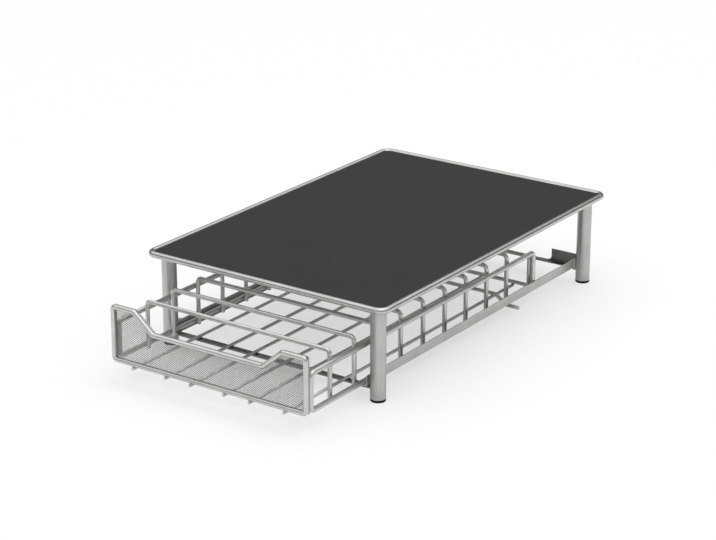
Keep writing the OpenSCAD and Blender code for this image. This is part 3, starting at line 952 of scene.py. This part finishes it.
floor_size = 16
floor_t = 0.01
floor_glow = 0.6
mirror_glow = 0.1
sweep_light = 1
sweep_top = 0.08
wall_light = 0.1
wall_foot = 0.16
wall_top = 0.42
ceiling_edge = 0.64
ceiling_light = 1.3
floor_mesh = prism([(-floor_size, -floor_size), (floor_size, -floor_size), (floor_size, floor_size),
                    (-floor_size, floor_size)], -floor_t)
studio_floor = bpy.data.objects.new("studio_floor", floor_mesh)
bpy.context.scene.collection.objects.link(studio_floor)
paper, tree, surface = new_material("White paper")
rays = add(tree, "ShaderNodeLightPath").outputs
mirrored = add(tree, "ShaderNodeMath", {0: rays["Is Glossy Ray"], 1: rays["Is Transmission Ray"]},
               operation="MAXIMUM")
in_mirror = add(tree, "ShaderNodeMath", {0: mirrored.outputs["Value"], 1: mirror_glow}, operation="MULTIPLY")
in_view = add(tree, "ShaderNodeMath", {0: rays["Is Camera Ray"], 1: floor_glow}, operation="MULTIPLY")
glow = add(tree, "ShaderNodeMath", {0: in_view.outputs["Value"], 1: in_mirror.outputs["Value"]},
           operation="MAXIMUM")
matt = add(tree, "ShaderNodeBsdfDiffuse", {"Color": linear("#FAFAFA")})
white = add(tree, "ShaderNodeEmission", {"Color": linear("#FFFFFF"), "Strength": 1})
mixed = add(tree, "ShaderNodeMixShader", {0: glow.outputs["Value"], 1: matt.outputs["BSDF"],
                                         2: white.outputs["Emission"]})
tree.links.new(mixed.outputs["Shader"], surface)
studio_floor.data.materials.append(paper)

world = bpy.data.worlds.new("Studio")
world.use_nodes = True
bpy.context.scene.world = world
tree = world.node_tree
tree.nodes.clear()
height = add(tree, "ShaderNodeSeparateXYZ", {"Vector": add(tree, "ShaderNodeTexCoord").outputs["Generated"]})
ceiling = add(tree, "ShaderNodeMapRange", {
    "Value": height.outputs["Z"], "From Min": wall_top, "From Max": ceiling_edge, "To Min": wall_light,
    "To Max": ceiling_light}, interpolation_type="SMOOTHSTEP")
sweep = add(tree, "ShaderNodeMapRange", {
    "Value": height.outputs["Z"], "From Min": sweep_top, "From Max": wall_foot,
    "To Min": sweep_light - wall_light, "To Max": 0}, interpolation_type="SMOOTHSTEP")
room = add(tree, "ShaderNodeMath", {0: ceiling.outputs["Result"], 1: sweep.outputs["Result"]},
           operation="ADD")
light = add(tree, "ShaderNodeBackground", {"Color": linear("#FFFFFF"), "Strength": room.outputs["Value"]})
tree.links.new(light.outputs["Background"], add(tree, "ShaderNodeOutputWorld").inputs["Surface"])


def softbox(name, place, target, size, watts):
    """A square soft light that points at a target."""
    data = bpy.data.lights.new(name, "AREA")
    data.size = size
    data.energy = watts
    light = bpy.data.objects.new(name, data)
    light.location = place
    light.rotation_euler = (Vector(target) - Vector(place)).to_track_quat("-Z", "Y").to_euler()
    bpy.context.scene.collection.objects.link(light)


softbox("overhead softbox", place=(0.3, 0.2, 2.2), target=(0, 0, 0), size=1.2, watts=5)


# Camera
# Seen from the front right, from a little above, with a long lens.
# It aims before the middle of the stand, so that the drawer is in the picture as well.

view_azimuth = math.radians(34.936)
view_elevation = math.radians(20.338)
view_distance = 2.4
sensor_mm = 36
lens_mm = 110.61
view_target = Vector((0.0212, -0.0367, 0.0791))
towards_camera = Vector((math.sin(view_azimuth) * math.cos(view_elevation),
                         -math.cos(view_azimuth) * math.cos(view_elevation), math.sin(view_elevation)))
camera_data = bpy.data.cameras.new("camera")
camera_data.sensor_width = sensor_mm
camera_data.sensor_fit = "HORIZONTAL"
camera_data.lens = lens_mm
camera = bpy.data.objects.new("camera", camera_data)
camera.location = view_target + towards_camera * view_distance
camera.rotation_euler = (-towards_camera).to_track_quat("-Z", "Y").to_euler()
bpy.context.scene.collection.objects.link(camera)
bpy.context.scene.camera = camera
bpy.context.scene.view_settings.view_transform = "Standard"
